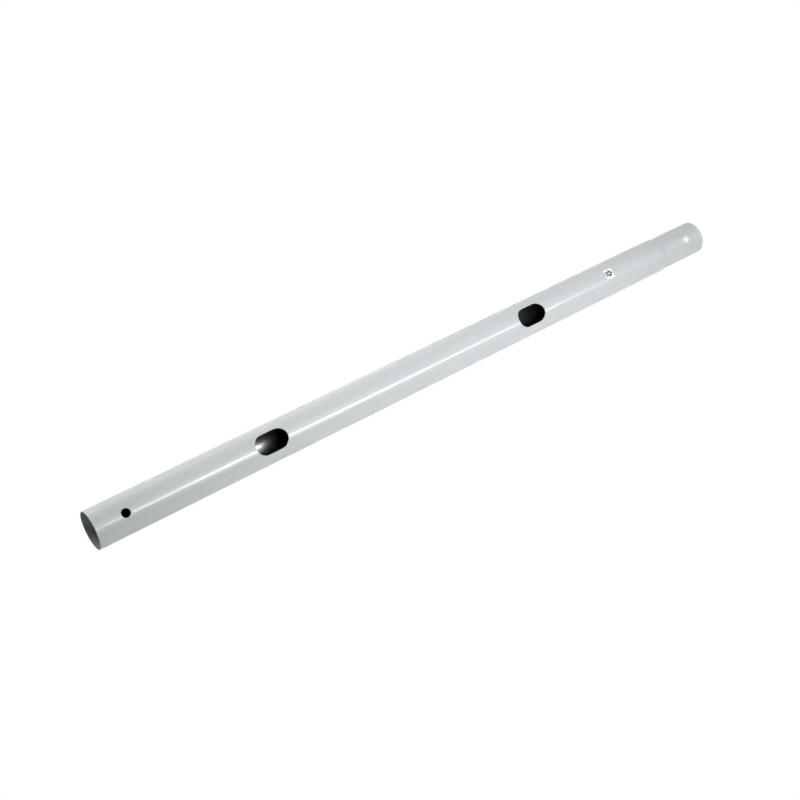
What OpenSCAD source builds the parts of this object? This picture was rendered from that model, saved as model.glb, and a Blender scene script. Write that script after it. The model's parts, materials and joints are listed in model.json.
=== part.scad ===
// Tubular spreader beam: a round steel tube with a plain socket at one end and a swaged
// spigot with a spring button at the other. Two long slots in one wall take the legs.
// Millimetres. The origin is the centre of the socket's mouth. +X runs along the tube
// towards the spigot, and +Z points at the slots, the button hole and the button.

/* [Tube] */
// Outside diameter of the tube
tube_d = 60; // [54:0.5:76]
// Wall thickness
wall = 1; // [0.8:0.1:1.4]
// Length at full diameter, from the socket's rim to the shoulder
full_l = 1114; // [1000:1:1300]

/* [Spigot] */
// Gap all round between the spigot and the socket that it slides into
spigot_gap = 0.4; // [0.1:0.05:0.6]
// Length of the swaged shoulder between the tube and the spigot
shoulder_l = 9; // [6:0.5:15]
// Length of the spigot's parallel part, next to the shoulder
parallel_l = 40; // [20:0.5:40]
// Length of the spigot's slight lead-in taper, which ends at its rim
lead_in_l = 49; // [40:0.5:60]
// How much the taper takes off the spigot's radius
lead_in_drop = 0.1; // [0.05:0.05:0.3]

/* [Leg slots] */
// Distance from the socket's rim to the centre of the first slot
slot_x = 291; // [200:1:320]
// Distance between the centres of the two slots
slot_pitch = 513.5; // [400:0.5:560]
// Slot length, end to end
slot_l = 55; // [45:0.5:60]
// Slot width
slot_w = 32; // [24:0.5:34]

/* [Button] */
// From the socket's rim to its button hole, and from the shoulder's end to the button
lock_inset = 48.5; // [48:0.5:52]
// Diameter of the socket's button hole
button_hole_d = 14; // [13:0.1:14.4]
// Diameter of the spigot's hole, which its own button fills
spigot_hole_d = 13; // [12.6:0.1:14]
// Diameter of the button
button_d = 12.2; // [12:0.1:12.2]
// How far the button stands out beyond the spigot
button_proud = 4.7; // [3.5:0.1:5]
// Radius of the button's rounded edge
button_edge_r = 2; // [1:0.1:3]

/* [Button spring] */
// Width of the spring strip
strip_w = 12; // [10:0.5:12]
// Thickness of the spring strip
strip_t = 0.9; // [0.6:0.1:1]
// Radius of the bend at the point of the V, at mid thickness
apex_r = 5; // [4:0.5:6]

/* [Label] */
// Side of the square label
label_side = 18; // [15:0.5:22]
// Thickness of the label
label_t = 0.1; // [0.1:0.05:0.2]
// Distance from the start of the shoulder back to the label's centre
label_inset = 128; // [20:1:140]
// Angle from the line of the slots to the label's centre
label_angle = 11; // [0:0.5:30]
// How far the label is turned clockwise from square to the tube
label_turn = 6; // [0:1:10]

/* [Hidden] */

$fn = 96;
past = 1; // how far cutting shapes run past the surfaces that they cut
tube_r = tube_d / 2;
bore_r = tube_r - wall;
spigot_r = bore_r - spigot_gap;
spigot_x = full_l + shoulder_l; // where the spigot starts
taper_x = spigot_x + parallel_l; // where its lead-in taper starts
total_l = taper_x + lead_in_l;
button_x = spigot_x + lock_inset;
button_top = spigot_r + button_proud;

// The strip's outer faces lie where its long edges just clear the narrowest inside wall.
strip_gap = 0.05;
narrowest_r = spigot_r - wall - lead_in_drop;
strip_face = sqrt(pow(narrowest_r - strip_gap, 2) - pow(strip_w / 2, 2));
strip_mid = strip_face - strip_t / 2;
apex_x = full_l + 3 + strip_t / 2 + apex_r; // centre of the apex bend, clear of the full bore
pad_half_l = 9; // the flat pad reaches this far on both sides of the button
strip_end = button_x + pad_half_l;
pad_bend_r = 5;
foot_bend_r = 6;
foot_curl = 35; // how far the foot turns up past level

tail_r = 3; // the staked tail that holds the button to the strip
tail_gap = 0.05;
staked_head_r = 4.5;
staked_head_t = 1.2;

label_corner_r = 1.5;

// A solid of revolution along +X, from points [x, r] and the axis.
module turned_along_x(points) {
    rotate([90, 0, 90]) rotate_extrude() polygon([for (p = points) [p[1], p[0]]]);
}

module tube_shell() {
    difference() {
        turned_along_x([
            [0, 0], [0, tube_r], [full_l, tube_r], [spigot_x, spigot_r], [taper_x, spigot_r],
            [total_l, spigot_r - lead_in_drop], [total_l, 0]
        ]);
        turned_along_x([
            [-past, 0], [-past, bore_r], [full_l, bore_r], [spigot_x, spigot_r - wall],
            [taper_x, spigot_r - wall], [total_l, narrowest_r], [total_l + past, narrowest_r],
            [total_l + past, 0]
        ]);
    }
}

module slot_outline() {
    half_run = (slot_l - slot_w) / 2;
    for (side = [-1, 1]) translate([side * half_run, 0]) circle(d = slot_w);
    square([2 * half_run, slot_w], center = true);
}

module beam_tube() {
    color([0.78, 0.81, 0.81]) difference() {
        tube_shell();
        for (i = [0, 1])
            translate([slot_x + i * slot_pitch, 0, 0])
                linear_extrude(tube_r + past) slot_outline();
        translate([lock_inset, 0, 0]) cylinder(d = button_hole_d, h = tube_r + past);
        translate([button_x, 0, 0]) cylinder(d = spigot_hole_d, h = tube_r + past);
    }
}

module button_head_profile() {
    crown_r = button_d / 2 - button_edge_r;
    translate([0, strip_face]) square([button_d / 2, button_top - button_edge_r - strip_face]);
    translate([0, strip_face]) square([crown_r, button_top - strip_face]);
    intersection() {
        translate([crown_r, button_top - button_edge_r]) circle(r = button_edge_r);
        translate([crown_r, button_top - button_edge_r]) square(button_edge_r);
    }
}

module snap_button() {
    tail_bottom = strip_face - strip_t - tail_gap;
    color([0.95, 0.95, 0.94]) translate([button_x, 0, 0]) {
        rotate_extrude() button_head_profile();
        translate([0, 0, tail_bottom - past / 2])
            cylinder(r = tail_r, h = strip_face - tail_bottom + past);
        translate([0, 0, tail_bottom - staked_head_t]) cylinder(r = staked_head_r, h = staked_head_t);
    }
}

// Every bend of the V turns the same way. Each is [centre, radius at mid thickness, start, end],
// where start and end are the angles of its outward normal, from the pad round to the foot.
// The straight runs between them touch the bends at both ends.
pad_bend = [button_x - pad_half_l, strip_mid - pad_bend_r];
foot_bend = [button_x, foot_bend_r - strip_mid];
apex_bend = [apex_x, 0];
pad_leg = 90 + leg_slope(pad_bend - apex_bend, pad_bend_r);
foot_leg = 270 - leg_slope(apex_bend - foot_bend, foot_bend_r);
bends = [
    [pad_bend, pad_bend_r, 90, pad_leg],
    [apex_bend, apex_r, pad_leg, foot_leg],
    [foot_bend, foot_bend_r, foot_leg, 270 + foot_curl]
];
bend_steps = 24;

// Slope of the straight run that touches both the apex bend and a bend of radius r.
function leg_slope(run, r) = atan2(run[1], abs(run[0])) + asin((r - apex_r) / norm(run));

// One face of the strip, seen from its edge, at a distance from mid thickness.
function strip_side(distance) = [
    [strip_end, strip_mid + distance],
    for (b = bends, i = [0:bend_steps])
        let (a = b[2] + (b[3] - b[2]) * i / bend_steps)
        b[0] + (b[1] + distance) * [cos(a), sin(a)]
];

module spring_profile() {
    outside = strip_side(strip_t / 2);
    inside = strip_side(-strip_t / 2);
    polygon(concat(outside, [for (i = [len(inside) - 1:-1:0]) inside[i]]));
}

module button_spring() {
    color([0.55, 0.56, 0.58]) difference() {
        intersection() {
            translate([0, strip_w / 2, 0]) rotate([90, 0, 0])
                linear_extrude(strip_w) spring_profile();
            // the strip's outline from above, with both ends rounded
            translate([0, 0, -tube_r]) linear_extrude(tube_d) {
                translate([full_l, -strip_w / 2])
                    square([strip_end - strip_w / 2 - full_l, strip_w]);
                translate([strip_end - strip_w / 2, 0]) circle(d = strip_w);
            }
        }
        translate([button_x, 0, strip_face - strip_t - past])
            cylinder(r = tail_r + tail_gap, h = strip_t + 2 * past);
    }
}

module label_outline() {
    inner = label_side - 2 * label_corner_r;
    square([label_side, inner], center = true);
    square([inner, label_side], center = true);
    for (x = [-1, 1], y = [-1, 1]) translate([x, y] * inner / 2) circle(r = label_corner_r);
}

module identification_label() {
    color([0.96, 0.96, 0.95]) translate([full_l - label_inset, 0, 0])
        rotate([-label_angle, 0, 0])
        intersection() {
            rotate([0, 90, 0]) difference() {
                cylinder(r = tube_r + label_t, h = 2 * label_side, center = true);
                cylinder(r = tube_r, h = 3 * label_side, center = true);
            }
            linear_extrude(2 * tube_r) rotate(-label_turn) label_outline();
        }
}

beam_tube();
snap_button();
button_spring();
identification_label();
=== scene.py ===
import json
import math
from collections import namedtuple

import bmesh
import bpy
from mathutils import Matrix, Vector, geometry


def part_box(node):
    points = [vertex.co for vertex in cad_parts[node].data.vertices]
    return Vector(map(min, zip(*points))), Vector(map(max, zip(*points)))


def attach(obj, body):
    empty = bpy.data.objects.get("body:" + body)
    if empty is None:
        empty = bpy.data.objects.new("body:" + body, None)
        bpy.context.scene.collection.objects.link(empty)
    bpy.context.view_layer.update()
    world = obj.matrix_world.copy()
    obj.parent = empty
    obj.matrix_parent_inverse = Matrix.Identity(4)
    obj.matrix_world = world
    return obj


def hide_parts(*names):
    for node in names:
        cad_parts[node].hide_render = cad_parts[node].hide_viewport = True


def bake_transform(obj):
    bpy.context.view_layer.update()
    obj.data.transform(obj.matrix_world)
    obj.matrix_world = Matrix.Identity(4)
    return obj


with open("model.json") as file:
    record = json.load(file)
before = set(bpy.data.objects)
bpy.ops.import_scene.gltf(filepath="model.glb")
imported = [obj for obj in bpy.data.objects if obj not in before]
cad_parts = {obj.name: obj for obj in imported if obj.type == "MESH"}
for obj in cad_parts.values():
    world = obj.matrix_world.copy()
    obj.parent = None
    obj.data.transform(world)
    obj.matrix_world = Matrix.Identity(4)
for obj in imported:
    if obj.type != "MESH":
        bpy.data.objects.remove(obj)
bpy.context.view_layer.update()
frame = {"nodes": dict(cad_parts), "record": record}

# Metres, in the part's own frame: the socket's mouth is at the origin, +X runs along the tube
# to the spigot, and +Z points out of the wall that has the slots and the button.
# An angle round the tube starts at +Z and grows towards +Y.
MM = 0.001

# ---------------------------------------------------------------- sizes, from the frame

MOUNTS = {m["name"]: m for m in frame["record"]["mounts"]}


def mount_size(mount, name):
    return MOUNTS[mount]["dims"][name] * MM


def widest_at_end(node, x):
    """The largest distance from the X axis among a CAD node's points at x."""
    points = [v.co for v in frame["nodes"][node].data.vertices]
    return max(math.hypot(p.y, p.z) for p in points if abs(p.x - x) < 0.1 * MM)


tube_low, tube_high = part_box("beam_tube")
TUBE_R = tube_high.z
TOTAL_L = tube_high.x
BORE_R = mount_size("socket_bore", "r_mm")
FULL_L = mount_size("socket_bore", "length_mm")
WALL = TUBE_R - BORE_R
SPIGOT_R = mount_size("spigot", "r_mm")
SPIGOT_X = MOUNTS["spigot"]["pos_m"][0] - mount_size("spigot", "length_mm") / 2
TAPER_X = SPIGOT_X + mount_size("spigot", "length_mm")
END_R = widest_at_end("beam_tube", TOTAL_L)

button_low, button_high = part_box("snap_button")
BUTTON_X = (button_low.x + button_high.x) / 2
BUTTON_R = (button_high.x - button_low.x) / 2
BUTTON_HOLE_R = mount_size("socket_button_hole", "r_mm")
SPIGOT_HOLE_R = BUTTON_R + 0.4 * MM
LOCK_X = MOUNTS["socket_button_hole"]["pos_m"][0]
spring_low, spring_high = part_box("button_spring")

SLOT_R = mount_size("leg_slots", "hole_r_mm")
SLOT_HALF_RUN = mount_size("leg_slots", "slot_length_mm") / 2 - SLOT_R
SLOT_XS = [
    MOUNTS["leg_slots"]["pos_m"][0] + side * mount_size("leg_slots", "spacing_x_mm") / 2
    for side in (-1, 1)
]

# ---------------------------------------------------------------- camera

CAMERA_PLACE = Vector((-0.40164, -0.04745, 1.81185))
CAMERA_AIM = Vector((0.5274, -0.0290, 0.0))
CAMERA_ROLL = math.radians(62.273)
CAMERA_LENS = 57.76


def place_camera():
    data = bpy.data.cameras.new("camera")
    data.lens = CAMERA_LENS
    data.sensor_width = 36
    data.clip_start = 0.01
    data.clip_end = 100
    camera = bpy.data.objects.new("camera", data)
    bpy.context.scene.collection.objects.link(camera)
    look = (CAMERA_AIM - CAMERA_PLACE).to_track_quat("-Z", "Y").to_matrix()
    turn = look @ Matrix.Rotation(CAMERA_ROLL, 3, "Z")
    camera.matrix_world = Matrix.Translation(CAMERA_PLACE) @ turn.to_4x4()
    bpy.context.scene.camera = camera


# ---------------------------------------------------------------- node materials


def new_material(name):
    made = bpy.data.materials.new(name)
    made.use_nodes = True
    return made


def plug(tree, socket, value):
    """Gives an input its value, which may be another node's output."""
    if isinstance(value, bpy.types.NodeSocket):
        tree.links.new(value, socket)
    else:
        socket.default_value = value


def node(tree, kind, settings=(), **inputs):
    """A new node. Settings are its own properties."""
    made = tree.nodes.new(kind)
    for name, value in dict(settings).items():
        setattr(made, name, value)
    for name, value in inputs.items():
        plug(tree, made.inputs[name.replace("_", " ")], value)
    return made


def maths(tree, operation, *values):
    made = node(tree, "ShaderNodeMath", {"operation": operation})
    for socket, value in zip(made.inputs, values):
        plug(tree, socket, value)
    return made.outputs["Value"]


def vector_maths(tree, operation, *values):
    made = node(tree, "ShaderNodeVectorMath", {"operation": operation})
    for socket, value in zip(made.inputs, values):
        plug(tree, socket, value)
    return made.outputs["Value" if operation == "DOT_PRODUCT" else "Vector"]


def object_place(tree, scale=(1, 1, 1), centre=(0, 0, 0)):
    """The point's place on the object from a centre, times a scale."""
    coordinates = node(tree, "ShaderNodeTexCoord").outputs["Object"]
    from_centre = vector_maths(tree, "SUBTRACT", coordinates, centre)
    return vector_maths(tree, "MULTIPLY", from_centre, scale)


def noise(tree, place, per_metre, detail=2.0):
    """Soft noise about 0.5, mostly from 0.3 to 0.7."""
    made = node(tree, "ShaderNodeTexNoise", Vector=place, Scale=per_metre, Detail=detail)
    return made.outputs["Fac"]


def spread(tree, fac, low, high, start=0.3, end=0.7):
    """A value that goes from low to high as the factor, by default a noise, goes from start to end."""
    made = node(
        tree, "ShaderNodeMapRange", Value=fac, From_Min=start, From_Max=end, To_Min=low, To_Max=high
    )
    return made.outputs["Result"]


def mix_colour(tree, fac, first, second):
    mixed = node(tree, "ShaderNodeMix", {"data_type": "RGBA"})
    for index, value in ((0, fac), (6, first), (7, second)):
        plug(tree, mixed.inputs[index], value)
    return mixed.outputs[2]


def mottled(tree, fac, first, second):
    """A colour that wanders between two with a noise."""
    return mix_colour(tree, spread(tree, fac, 0, 1), first, second)


def bump(tree, height, distance):
    made = node(tree, "ShaderNodeBump", Strength=1.0, Distance=distance, Height=height)
    return made.outputs["Normal"]


def shade(colour, amount):
    """An RGBA colour, lighter or darker by a share."""
    return tuple(c * amount for c in colour) + (1.0,)


def finish_with(made, **inputs):
    """Sets the inputs of the material's Principled shader."""
    shader = made.node_tree.nodes["Principled BSDF"]
    for name, value in inputs.items():
        plug(made.node_tree, shader.inputs[name.replace("_", " ")], value)
    return made


COAT_GREY = (0.598, 0.638, 0.645)


def powder_coat():
    """Satin light grey paint with a fine orange peel."""
    made = new_material("powder_coat")
    tree = made.node_tree
    place = object_place(tree)
    cloud = noise(tree, place, 9, 3)
    peel = noise(tree, place, 620, 2)
    grain = noise(tree, place, 2600, 1)
    heights = maths(tree, "MULTIPLY_ADD", peel, 3.0, grain)
    return finish_with(
        made,
        Base_Color=mottled(tree, cloud, shade(COAT_GREY, 0.985), shade(COAT_GREY, 1.015)),
        Roughness=spread(tree, grain, 0.24, 0.30),
        Specular_IOR_Level=0.5,
        Normal=bump(tree, heights, 0.006 * MM),
        Coat_Weight=0.3,
        Coat_Roughness=0.10,
    )


BARE_STEEL = (0.305, 0.303, 0.298)
STEEL_METALLIC = 0.92
SEAM_ANGLE = math.radians(-128)
SEAM_HALF_W = 2.2 * MM
OVERSPRAY_FULL = 2 * MM  # the overspray is whole this far in from an end
OVERSPRAY_GONE = 26 * MM  # and has faded out here
OVERSPRAY_WAVE = 12 * MM  # how unevenly it does so


def bare_steel():
    """The inside of the tube: dark drawn steel, dulled by a thin skin of oxide, with its weld seam, and
    the coat's overspray for a short way in from both ends. The overspray is a darker copy of the
    coat's grey, which is painted shade inside the bore. Its highlights are wider round the bore
    than along it."""
    made = new_material("bare_steel")
    tree = made.node_tree
    place = object_place(tree)
    drawn = noise(tree, object_place(tree, (12, 700, 700)), 1, 3)
    stain = noise(tree, place, 45, 3)
    stained = mottled(tree, stain, shade(BARE_STEEL, 0.85), shade(BARE_STEEL, 1.15))

    across_seam = (0, math.cos(SEAM_ANGLE), -math.sin(SEAM_ANGLE))
    to_seam = (0, math.sin(SEAM_ANGLE), math.cos(SEAM_ANGLE))
    off_seam = maths(tree, "ABSOLUTE", vector_maths(tree, "DOT_PRODUCT", place, across_seam))
    near_seam = spread(tree, off_seam, 1, 0, 0.6 * SEAM_HALF_W, SEAM_HALF_W)
    this_side = spread(tree, vector_maths(tree, "DOT_PRODUCT", place, to_seam), 0, 1, 0, 1 * MM)
    seam = maths(tree, "MULTIPLY", near_seam, this_side)
    seamed = mix_colour(tree, seam, stained, shade(BARE_STEEL, 0.45))

    half_l = TOTAL_L / 2
    along = node(tree, "ShaderNodeSeparateXYZ", Vector=place).outputs["X"]
    from_middle = maths(tree, "ABSOLUTE", spread(tree, along, -half_l, half_l, 0, TOTAL_L))
    wavy = maths(tree, "MULTIPLY_ADD", stain, OVERSPRAY_WAVE, from_middle)
    coated = spread(tree, wavy, 0, 1, half_l - OVERSPRAY_GONE, half_l - OVERSPRAY_FULL)
    around = node(tree, "ShaderNodeTangent", {"direction_type": "RADIAL", "axis": "X"})
    return finish_with(
        made,
        # the overspray is real coat, but its grey is darkened to 0.72 of the outside coat's as painted
        # shade inside the bore
        Base_Color=mix_colour(tree, coated, seamed, shade(COAT_GREY, 0.72)),
        Metallic=spread(tree, coated, STEEL_METALLIC, 0, 0, 1),
        Roughness=spread(tree, drawn, 0.27, 0.30),
        Anisotropic=0.35,
        Tangent=around.outputs["Tangent"],
        Normal=bump(tree, drawn, 0.0008 * MM),
    )


def white_nylon():
    """Smooth white moulded plastic."""
    made = new_material("white_nylon")
    tree = made.node_tree
    place = object_place(tree, centre=(BUTTON_X, 0, 0))
    cloud = noise(tree, place, 320, 3)
    fine = noise(tree, place, 2200, 1)
    return finish_with(
        made,
        Base_Color=mottled(tree, cloud, (0.87, 0.885, 0.89, 1), (0.90, 0.91, 0.91, 1)),
        Roughness=spread(tree, fine, 0.30, 0.38),
        Normal=bump(tree, fine, 0.003 * MM),
    )


def spring_steel():
    """Blued and oiled strip, with faint lengthwise rolling marks."""
    made = new_material("spring_steel")
    tree = made.node_tree
    rolled = noise(tree, object_place(tree, (60, 2400, 60)), 1, 2)
    temper = noise(tree, object_place(tree), 60, 3)
    return finish_with(
        made,
        Base_Color=mottled(tree, temper, (0.30, 0.31, 0.34, 1), (0.38, 0.37, 0.36, 1)),
        Metallic=1.0,
        Roughness=spread(tree, rolled, 0.28, 0.40),
        Normal=bump(tree, rolled, 0.006 * MM),
    )


def label_vinyl():
    """Matte white sticker."""
    made = new_material("label_vinyl")
    tree = made.node_tree
    fine = noise(tree, object_place(tree), 1500, 2)
    return finish_with(
        made,
        Base_Color=mottled(tree, fine, (0.86, 0.885, 0.895, 1), (0.90, 0.92, 0.925, 1)),
        Roughness=spread(tree, fine, 0.40, 0.48),
        Normal=bump(tree, fine, 0.004 * MM),
    )


def label_ink():
    """Dark grey print, slightly uneven."""
    made = new_material("label_ink")
    tree = made.node_tree
    fine = noise(tree, object_place(tree), 1800, 2)
    return finish_with(
        made,
        Base_Color=mottled(tree, fine, (0.014, 0.015, 0.017, 1), (0.024, 0.025, 0.028, 1)),
        Roughness=spread(tree, fine, 0.38, 0.50),
    )


# ---------------------------------------------------------------- meshes


SHARP_ANGLE = math.radians(35)


class Skin:
    """A closed mesh gathered point by point. Each point may have the surface's exact normal there,
    and a mesh without them is smooth up to its sharp edges."""

    def __init__(self):
        self.points = []
        self.normals = []
        self.faces = []
        self.finishes = []

    def point(self, place, normal=None):
        self.points.append(place)
        if normal is not None:
            self.normals.append(normal.normalized())
        return len(self.points) - 1

    def face(self, corners, finish):
        self.faces.append(corners)
        self.finishes.append(finish)

    def join(self, ring, other, finish):
        """A strip of faces between two closed rings of the same count."""
        count = len(ring)
        for k in range(count):
            after = (k + 1) % count
            self.face((ring[k], ring[after], other[after], other[k]), finish)

    def object(self, name, materials):
        mesh = bpy.data.meshes.new(name)
        mesh.from_pydata(self.points, [], self.faces)
        mesh.polygons.foreach_set("material_index", self.finishes)
        mesh.polygons.foreach_set("use_smooth", [True] * len(self.faces))
        for material in materials:
            mesh.materials.append(material)
        shell = bmesh.new()
        shell.from_mesh(mesh)
        bmesh.ops.recalc_face_normals(shell, faces=shell.faces)
        shell.to_mesh(mesh)
        shell.free()
        if self.normals:
            mesh.normals_split_custom_set_from_vertices(self.normals)
        else:
            mesh.set_sharp_from_angle(angle=SHARP_ANGLE)
        made = bpy.data.objects.new(name, mesh)
        bpy.context.scene.collection.objects.link(made)
        return made


# ---------------------------------------------------------------- the tube

ROWS = 128  # faces round the tube
OUTER_EDGE_R = 0.30 * MM  # the coat rounds the edges outside
INNER_EDGE_R = 0.12 * MM
EDGE_STEPS = 4
SHOULDER_EASE = 1.0 * MM  # how far the shoulder's soft bends reach past the plain cone
NECK_DEPTH = 0.4 * MM  # the swaged spigot is a little narrower just behind its shoulder
NECK_X = SPIGOT_X + 2 * MM  # where the neck is narrowest
NECK_END = NECK_X + 16 * MM
COATED, BARE = 0, 1  # material slots of the tube

# A round-ended hole at x, and the patch of the tube's grid that is remade round it. The patch
# reaches this far along the tube on both sides, in this many columns, and over this many of the
# grid's rows to both sides, and it has this many rings of faces.
Hole = namedtuple("Hole", "x radius half_run reach columns rows rings")
HOLE_REACH = 12 * MM
SLOT_REACH = SLOT_HALF_RUN + SLOT_R + 9 * MM
HOLES = [
    Hole(LOCK_X, BUTTON_HOLE_R, 0.0, HOLE_REACH, 12, 8, 3),
    Hole(BUTTON_X, SPIGOT_HOLE_R, 0.0, HOLE_REACH, 12, 8, 3),
]
HOLES += [Hole(x, SLOT_R, SLOT_HALF_RUN, SLOT_REACH, 24, 16, 5) for x in SLOT_XS]
HOLES.sort(key=lambda hole: hole.x)
RINGS_CROWD = 1.4  # above 1, the rings crowd towards the hole
HOLE_BAND = 0.3 * MM  # the innermost ring lies this far outside the rounded edge


def soft_step(x, start, end):
    """From 0 at start to 1 at end, as a soft S."""
    t = min(1.0, max(0.0, (x - start) / (end - start)))
    return t * t * (3 - 2 * t)


def outer_radius(x):
    """The tube's outside radius, with a soft shoulder between the tube and the spigot, and a shallow
    neck behind it."""
    step = soft_step(x, FULL_L - SHOULDER_EASE, SPIGOT_X + SHOULDER_EASE)
    neck = NECK_DEPTH * soft_step(x, FULL_L, NECK_X) * soft_step(x, NECK_END, NECK_X)
    taper = max(0.0, (x - TAPER_X) / (TOTAL_L - TAPER_X))
    return TUBE_R + (SPIGOT_R - TUBE_R) * step - neck + (END_R - SPIGOT_R) * taper


def outward(x, angle):
    """The way that the outside faces, of any length."""
    step = 0.05 * MM
    slope = (outer_radius(x + step) - outer_radius(x - step)) / (2 * step)
    return Vector((-slope, math.sin(angle), math.cos(angle)))


def round_point(x, radius, angle):
    """The point at an angle round the tube's axis."""
    return Vector((x, radius * math.sin(angle), radius * math.cos(angle)))


def wall_point(x, angle, depth):
    """The point at a depth below the outside."""
    return round_point(x, outer_radius(x) - depth, angle)


def edge_profile():
    """Steps from the outside over an edge and down through the wall to the bore. Each is the distance
    back from the edge, the depth, and how much the normal leans outwards and out of the edge."""
    turns = [math.pi / 2 * k / EDGE_STEPS for k in range(EDGE_STEPS + 1)]
    outer, inner = [], []
    for a in turns:
        back, drop = 1 - math.sin(a), 1 - math.cos(a)
        outer.append((OUTER_EDGE_R * back, OUTER_EDGE_R * drop, math.cos(a), math.sin(a)))
        inner.append((INNER_EDGE_R * drop, WALL - INNER_EDGE_R * back, -math.sin(a), math.cos(a)))
    return outer + inner


def columns_between(start, end, longest):
    """Evenly spaced places from start up to but not including end."""
    count = max(1, math.ceil((end - start) / longest - 1e-6))
    return [start + (end - start) * k / count for k in range(count)]


def grid_columns(edge_r):
    """The places of the grid's columns along a sheet whose ends are rounded by edge_r."""
    # where each stretch of the grid starts, and its longest cell
    stops = [(0.8 * MM, 4 * MM), (TOTAL_L - 0.8 * MM, 1 * MM)]
    stops += [(FULL_L - 3 * MM, 1 * MM), (NECK_X + 3 * MM, 2 * MM), (NECK_END, 4 * MM)]
    for hole in HOLES:
        stops.append((hole.x - hole.reach, 2 * hole.reach / hole.columns))
        stops.append((hole.x + hole.reach, 14 * MM))
    stops.sort()
    columns = [edge_r]
    for (start, longest), (end, _) in zip(stops, stops[1:] + [(TOTAL_L - edge_r, 0)]):
        columns += columns_between(start, end, longest)
    return columns + [TOTAL_L - edge_r]


def patch_range(hole, columns):
    """The indices of a patch's first and last columns."""
    ends = [
        min(range(len(columns)), key=lambda i: abs(columns[i] - x))
        for x in (hole.x - hole.reach, hole.x + hole.reach)
    ]
    return ends[0], ends[1]


def patch_border(hole, columns):
    """The grid places round a patch, in order, as (column, row)."""
    first, last = patch_range(hole, columns)
    across, along = range(-hole.rows, hole.rows), range(first, last)
    border = [(i, -hole.rows) for i in along]
    border += [(last, j) for j in across]
    border += [(i, hole.rows) for i in reversed(range(first + 1, last + 1))]
    border += [(first, j) for j in reversed(range(-hole.rows + 1, hole.rows + 1))]
    return border


def row_angle(row):
    return 2 * math.pi * row / ROWS


def away_from_hole(hole, x, angle):
    """The nearest point of the hole's middle line to a border place, and the way from it to there, both
    seen from above the hole."""
    seen = Vector((x - hole.x, outer_radius(x) * math.sin(angle)))
    nearest = Vector((max(-hole.half_run, min(hole.half_run, seen.x)), 0))
    return nearest, (seen - nearest).normalized()


def hole_point(skin, hole, nearest, way, distance, depth, lean_out, lean_in):
    """A point of a hole's rim or wall, straight below the outline that runs a distance outside it."""
    seen = nearest + way * (hole.radius + distance)
    x = hole.x + seen.x
    radius = outer_radius(x) - depth
    angle = math.asin(seen.y / radius)
    normal = outward(x, angle) * lean_out - Vector((way.x, way.y, 0)) * lean_in
    return skin.point(wall_point(x, angle, depth), normal)


def add_sheet(skin, depth, edge_r, facing, finish):
    """The outside or the bore, as a grid with a patch of rings round each hole. It gives back the rings
    of points at the two ends and round each hole's edge."""
    columns = grid_columns(edge_r)
    grid = {}

    def grid_point(i, j):
        key = (i, j % ROWS)
        if key not in grid:
            x, angle = columns[i], row_angle(key[1])
            grid[key] = skin.point(wall_point(x, angle, depth), outward(x, angle) * facing)
        return grid[key]

    covered = set()
    for hole in HOLES:
        first, last = patch_range(hole, columns)
        covered |= {(i, j % ROWS) for i in range(first, last) for j in range(-hole.rows, hole.rows)}
    for i in range(len(columns) - 1):
        for j in range(ROWS):
            if (i, j) not in covered:
                corners = ((i, j), (i + 1, j), (i + 1, j + 1), (i, j + 1))
                skin.face([grid_point(*corner) for corner in corners], finish)

    mouths = []
    for hole in HOLES:
        border = patch_border(hole, columns)
        rings = [[grid_point(i, j) for i, j in border]]
        support = hole.radius + edge_r + HOLE_BAND
        for step in range(1, hole.rings + 1):
            share = (1 - step / hole.rings) ** RINGS_CROWD
            ring = []
            for i, j in border:
                nearest, way = away_from_hole(hole, columns[i], row_angle(j))
                seen = nearest + way * support
                radius = outer_radius(hole.x + seen.x) - depth
                x = (hole.x + seen.x) * (1 - share) + columns[i] * share
                angle = math.asin(seen.y / radius) * (1 - share) + row_angle(j) * share
                ring.append(skin.point(wall_point(x, angle, depth), outward(x, angle) * facing))
            rings.append(ring)
        for ring, other in zip(rings, rings[1:]):
            skin.join(ring, other, finish)
        mouths.append(rings[-1])
    ends = [[grid_point(i, j) for j in range(ROWS)] for i in (0, len(columns) - 1)]
    return ends, mouths


def beam_tube():
    skin = Skin()
    outer_ends, outer_mouths = add_sheet(skin, 0.0, OUTER_EDGE_R, 1, COATED)
    inner_ends, inner_mouths = add_sheet(skin, WALL, INNER_EDGE_R, -1, BARE)
    profile = edge_profile()

    for end, along, first_ring, last_ring in zip((0.0, TOTAL_L), (1, -1), outer_ends, inner_ends):
        rings = [first_ring]
        for distance, depth, lean_out, lean_in in profile[1:-1]:
            x = end + along * distance
            ring = []
            for row in range(ROWS):
                angle = row_angle(row)
                normal = outward(x, angle) * lean_out - Vector((along, 0, 0)) * lean_in
                ring.append(skin.point(wall_point(x, angle, depth), normal))
            rings.append(ring)
        rings.append(last_ring)
        for ring, other in zip(rings, rings[1:]):
            skin.join(ring, other, COATED)

    columns = grid_columns(OUTER_EDGE_R)
    for hole, first_ring, last_ring in zip(HOLES, outer_mouths, inner_mouths):
        border = patch_border(hole, columns)
        spots = [away_from_hole(hole, columns[i], row_angle(j)) for i, j in border]
        rings = [first_ring]
        rings += [[hole_point(skin, hole, *spot, *step) for spot in spots] for step in profile]
        rings.append(last_ring)
        for ring, other in zip(rings[:-1], rings[1:-1]):
            skin.join(ring, other, COATED)
        skin.join(rings[-2], rings[-1], BARE)
    return skin.object("tube_shell", [powder_coat(), bare_steel()])


# ---------------------------------------------------------------- the button

LATHE_FACES = 96


def arc(centre, radius, start, end, steps):
    """Points (r, z) along an arc, by angle from +r towards +z."""
    turns = [math.radians(start + (end - start) * k / steps) for k in range(steps + 1)]
    return [Vector(centre) + radius * Vector((math.cos(a), math.sin(a))) for a in turns]


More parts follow.
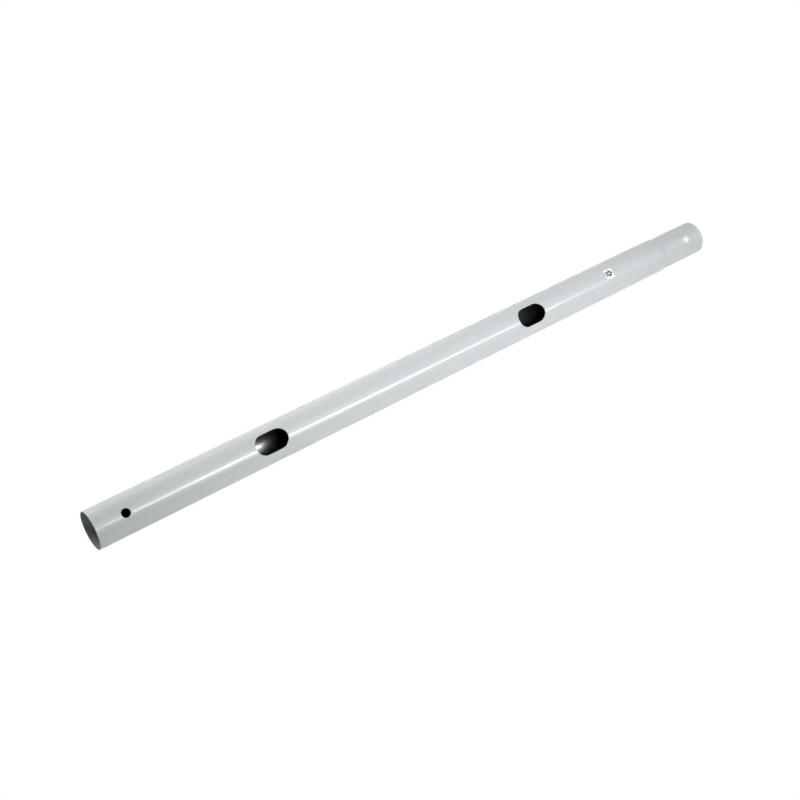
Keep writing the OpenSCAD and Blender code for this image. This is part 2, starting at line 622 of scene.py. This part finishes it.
def button_profile():
    """From the crown's middle round the head, under it, down the tail and round its staked end."""
    top, bottom = button_high.z, button_low.z
    seat = spring_high.z
    crown_r = 60 * MM
    edge_r = 2 * MM
    foot_r = 0.25 * MM
    tail_r = 3 * MM
    head_r = 4.5 * MM
    head_t = 1.2 * MM
    head_edge = 0.3 * MM
    lean = math.degrees(math.asin((BUTTON_R - edge_r) / (crown_r - edge_r)))
    crown = arc((0, top - crown_r), crown_r, 90, 90 - lean, 8)
    edge_centre = Vector((0, top - crown_r)).lerp(crown[-1], 1 - edge_r / crown_r)
    edge = arc(edge_centre, edge_r, 90 - lean, 0, 10)[1:]
    foot = arc((BUTTON_R - foot_r, seat + foot_r), foot_r, 0, -90, 4)
    head_top = bottom + head_t
    tail = [Vector((tail_r, seat)), Vector((tail_r, head_top))]
    shoulder = arc((head_r - head_edge, head_top - head_edge), head_edge, 90, 0, 4)
    flank = head_top - 2 * head_edge
    rise = flank - bottom
    dome_r = (head_r ** 2 + rise ** 2) / (2 * rise)
    dome = arc((0, bottom + dome_r), dome_r, -90 + math.degrees(math.asin(head_r / dome_r)), -90, 8)
    return crown + edge + foot + tail + shoulder + dome


def snap_button():
    skin = Skin()
    rings = []
    for r, z in button_profile():
        if r < 1e-9:
            rings.append([skin.point(Vector((BUTTON_X, 0, z)))] * LATHE_FACES)
        else:
            turns = [2 * math.pi * k / LATHE_FACES for k in range(LATHE_FACES)]
            rings.append([
                skin.point(Vector((BUTTON_X + r * math.cos(a), r * math.sin(a), z))) for a in turns
            ])
    for ring, other in zip(rings, rings[1:]):
        for k in range(LATHE_FACES):
            after = (k + 1) % LATHE_FACES
            corners = dict.fromkeys((ring[k], ring[after], other[after], other[k]))
            skin.face(tuple(corners), 0)
    return skin.object("button_stud", [white_nylon()])


# ---------------------------------------------------------------- the spring

SPRING_EDGE_R = 0.15 * MM
SPRING_CUTS = 14  # short lengths of its upper half, which is the half that bends


def button_spring():
    """The strip with softly rounded edges, its upper half cut across into short lengths."""
    mesh = bpy.data.meshes.new("spring_strip")
    strip = bmesh.new()
    strip.from_mesh(frame["nodes"]["button_spring"].data)
    bmesh.ops.remove_doubles(strip, verts=strip.verts, dist=0.001 * MM)
    bmesh.ops.dissolve_limit(
        strip, angle_limit=math.radians(0.6), verts=strip.verts, edges=strip.edges
    )
    sharp = [e for e in strip.edges if e.is_manifold and e.calc_face_angle() > math.radians(40)]
    bmesh.ops.bevel(
        strip, geom=sharp, offset=SPRING_EDGE_R, offset_type="OFFSET", segments=3, profile=0.5,
        affect="EDGES", clamp_overlap=False,
    )
    middle = (spring_low.z + spring_high.z) / 2
    for k in range(1, SPRING_CUTS):
        height = middle + (spring_high.z - middle) * k / SPRING_CUTS
        geom = strip.verts[:] + strip.edges[:] + strip.faces[:]
        bmesh.ops.bisect_plane(strip, geom=geom, plane_co=(0, 0, height), plane_no=(0, 0, 1))
    bmesh.ops.triangulate(strip, faces=[f for f in strip.faces if len(f.verts) > 4])
    for face in strip.faces:
        face.smooth = True
    strip.to_mesh(mesh)
    strip.free()
    mesh.materials.append(spring_steel())
    made = bpy.data.objects.new("spring_strip", mesh)
    bpy.context.scene.collection.objects.link(made)
    mesh.set_sharp_from_angle(angle=SHARP_ANGLE)
    return made


# ---------------------------------------------------------------- the label

LABEL_TURN = math.radians(-6)  # it is stuck on a little askew
LABEL_CORNER_R = 1.5 * MM
LABEL_CORNER_STEPS = 8
LABEL_CELL = 1.0 * MM
LABEL_CLEAR = 0.3 * LABEL_CELL  # inner points of the mesh keep this far from the outlines' points
LABEL_INSET = 0.96  # and stay inside the label's outline scaled down by this
# in millimetres from the label's centre
ARROW = [(-6.6, -3.7), (-0.4, -3.7), (-0.4, -7.0), (6.6, 0), (-0.4, 7.0), (-0.4, 3.7), (-6.6, 3.7)]
ARROW_HOLLOW = [(-4.3, -1.4), (1.95, -1.4), (3.35, 0), (1.95, 1.4), (-4.3, 1.4)]


def inside(point, outline):
    """Whether a flat point lies inside a closed outline."""
    crossings = 0
    for (ax, ay), (bx, by) in zip(outline, outline[1:] + outline[:1]):
        if (ay > point.y) != (by > point.y):
            crossings += point.x < ax + (point.y - ay) * (bx - ax) / (by - ay)
    return crossings % 2 == 1


def label_outline(half):
    """A square with rounded corners, half a side from its centre to its sides."""
    inner = half - LABEL_CORNER_R
    outline = []
    for quarter, (sx, sy) in enumerate(((1, 1), (-1, 1), (-1, -1), (1, -1))):
        for k in range(LABEL_CORNER_STEPS + 1):
            a = math.pi / 2 * (quarter + k / LABEL_CORNER_STEPS)
            corner = Vector((sx * inner, sy * inner))
            outline.append(corner + LABEL_CORNER_R * Vector((math.cos(a), math.sin(a))))
    return outline


def label_triangles(half, marks):
    """The label laid flat, cut along its marks: its points, and its triangles as their indices."""
    outline = label_outline(half)
    loops, places = [], []
    for loop in [outline] + marks:
        loops += [(len(places) + k, len(places) + (k + 1) % len(loop)) for k in range(len(loop))]
        places += loop
    within = [tuple(p * LABEL_INSET) for p in outline]
    count = int(2 * half / LABEL_CELL)
    line = [-half + 2 * half * (k + 0.5) / count for k in range(count)]
    for spot in [Vector((x, y)) for x in line for y in line]:
        clear = min((spot - place).length for place in places) > LABEL_CLEAR
        if clear and inside(spot, within):
            places.append(spot)
    flat, _, triangles, _, _, _ = geometry.delaunay_2d_cdt(places, loops, [], 0, 0.01 * MM)
    return flat, triangles


def identification_label():
    """A thin square sticker laid round the tube, with a plain arrow that points towards the spigot."""
    low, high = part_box("identification_label")
    centre_x = (low.x + high.x) / 2
    askew = math.cos(LABEL_TURN) + abs(math.sin(LABEL_TURN))
    half = ((high.x - low.x) / 2 - LABEL_CORNER_R) / askew + LABEL_CORNER_R
    points = [v.co for v in frame["nodes"]["identification_label"].data.vertices]
    angles = [math.atan2(p.y, p.z) for p in points]
    centre_angle = (min(angles) + max(angles)) / 2
    top_r = max(math.hypot(p.y, p.z) for p in points)
    marks = [[Vector(p) * MM for p in loop] for loop in (ARROW, ARROW_HOLLOW)]
    flat, triangles = label_triangles(half, marks)

    skin = Skin()
    sheets = []
    turn = Matrix.Rotation(LABEL_TURN, 2)
    for radius in (top_r, TUBE_R):
        sheet = []
        for p in [turn @ p for p in flat]:
            angle = centre_angle + math.asin(p.y / TUBE_R)
            sheet.append(skin.point(round_point(centre_x + p.x, radius, angle)))
        sheets.append(sheet)
    top, back = sheets
    arrow, hollow = [[tuple(p) for p in mark] for mark in marks]
    edges = set()
    for triangle in triangles:
        middle = sum((flat[k] for k in triangle), Vector((0, 0))) / 3
        inked = inside(middle, arrow) and not inside(middle, hollow)
        skin.face(tuple(top[k] for k in triangle), int(inked))
        skin.face(tuple(back[k] for k in reversed(triangle)), 0)
        edges |= set(zip(triangle, triangle[1:] + triangle[:1]))
    for a, b in sorted(edges):
        if (b, a) not in edges:
            skin.face((top[b], top[a], back[a], back[b]), 0)
    return skin.object("label_sticker", [label_vinyl(), label_ink()])


# ---------------------------------------------------------------- floor, lights and surroundings


FLOOR_R = 40
FLOOR_GAP = 0.1 * MM


def white_to_camera(tree, strength):
    """A strength that is plain white where the camera looks, and its own value for the light."""
    seen = node(tree, "ShaderNodeLightPath").outputs["Is Camera Ray"]
    mixed = node(tree, "ShaderNodeMix", {"data_type": "FLOAT"})
    for index, value in ((0, seen), (2, strength), (3, 1.0)):
        plug(tree, mixed.inputs[index], value)
    return mixed.outputs[0]


def stand():
    """A plain pale floor under the tube that shows as plain white. It glows a little, more so on the
    +Y side, and most of all there beside the socket's half."""
    made = new_material("pale_floor")
    tree = made.node_tree
    seen = node(tree, "ShaderNodeLightPath").outputs["Is Camera Ray"]
    place = node(tree, "ShaderNodeSeparateXYZ", Vector=object_place(tree))
    along, across = place.outputs["X"], place.outputs["Y"]  # from the tube's middle
    below = spread(tree, across, 0.09, 0.21, -2 * TUBE_R, 2 * TUBE_R)
    beside = spread(tree, across, 0.0, 0.54, 1 * TUBE_R, 4.7 * TUBE_R)
    near_socket = spread(tree, along, 1.0, 0.0, -0.10, 0.36)
    glow = maths(tree, "MULTIPLY_ADD", beside, near_socket, below)
    finish_with(
        made,
        Base_Color=mix_colour(tree, seen, (0.8, 0.8, 0.8, 1), (0, 0, 0, 1)),
        Roughness=1.0,
        Specular_IOR_Level=0.0,
        Emission_Color=(1, 1, 1, 1),
        Emission_Strength=white_to_camera(tree, glow),
    )
    ring = bmesh.new()
    bmesh.ops.create_circle(ring, cap_ends=True, segments=96, radius=FLOOR_R)
    mesh = bpy.data.meshes.new("floor")
    ring.to_mesh(mesh)
    ring.free()
    mesh.materials.append(made)
    floor = bpy.data.objects.new("floor", mesh)
    floor.location = (TOTAL_L / 2, 0, tube_low.z - FLOOR_GAP)
    bpy.context.scene.collection.objects.link(floor)


def soft_light(name, place, aim, size, brightness, shape="RECTANGLE"):
    """A soft light at a place, facing a point. Its first size runs along the tube. At a brightness of
    1 its face is as bright as a thing that shows plain white."""
    data = bpy.data.lights.new(name, "AREA")
    data.shape = shape
    data.size, data.size_y = size
    area = size[0] * size[1] * (math.pi / 4 if shape == "ELLIPSE" else 1)
    data.energy = brightness * math.pi * area
    light = bpy.data.objects.new(name, data)
    bpy.context.scene.collection.objects.link(light)
    away = (Vector(place) - Vector(aim)).normalized()
    side = away.cross(Vector((1, 0, 0))).normalized()
    turn = Matrix((side.cross(away), side, away)).transposed()
    light.matrix_world = Matrix.Translation(place) @ turn.to_4x4()
    light.visible_camera = False


def light_scene():
    """Surroundings that are white at the horizon and dark above, a soft light overhead, a bright one
    low on the +Y side, two faint ones, and a row of narrow key lights above the tube, a little to
    its -Y side, that draw the bright line along it."""
    world = bpy.data.worlds.new("studio")
    bpy.context.scene.world = world
    world.use_nodes = True
    tree = world.node_tree
    background = tree.nodes["Background"]
    background.inputs["Color"].default_value = (1, 1, 1, 1)
    way = node(tree, "ShaderNodeTexCoord").outputs["Generated"]
    height = node(tree, "ShaderNodeSeparateXYZ", Vector=way).outputs["Z"]
    horizon = spread(tree, height, 1.2, 0.0, 0.0, 0.25)
    tree.links.new(white_to_camera(tree, horizon), background.inputs["Strength"])

    soft_light("overhead", (0.75, 0, 2.2), (0.75, 0, 0), (1.6, 1.6), 1.45)
    soft_light("high_minus_y", (-0.1, -0.9, 1.7), (0.15, 0, 0), (1.2, 0.8), 0.70)
    soft_light("past_spigot", (2.2, -0.2, 1.5), (1.0, 0, 0), (0.9, 0.7), 0.5)
    soft_light("low_plus_y", (-0.3, 1.5, 0.5), (0.2, 0, 0), (1.2, 0.7), 3.3)
    soft_light("key_start", (0.40, -0.140, 0.85), (0.40, -0.02, 0), (0.50, 0.06), 21.0, "ELLIPSE")
    soft_light("key_middle", (0.66, -0.250, 0.85), (0.66, -0.02, 0), (0.80, 0.36), 2.65, "ELLIPSE")
    soft_light("key_end", (1.03, -0.190, 0.85), (1.03, -0.02, 0), (1.20, 0.14), 10.8, "ELLIPSE")


place_camera()
light_scene()
stand()
tube = beam_tube()
button = snap_button()
spring = button_spring()
label = identification_label()

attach(tube, "tube")
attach(button, "button")
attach(label, "tube")
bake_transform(spring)

for piece, cad_node, slot in (
    (tube, "beam_tube", "powder_coated_steel"),
    (button, "snap_button", "white_nylon"),
    (spring, "button_spring", "spring_steel"),
    (label, "identification_label", "label_vinyl"),
):
    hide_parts(cad_node)

bpy.context.scene.view_settings.view_transform = "Standard"
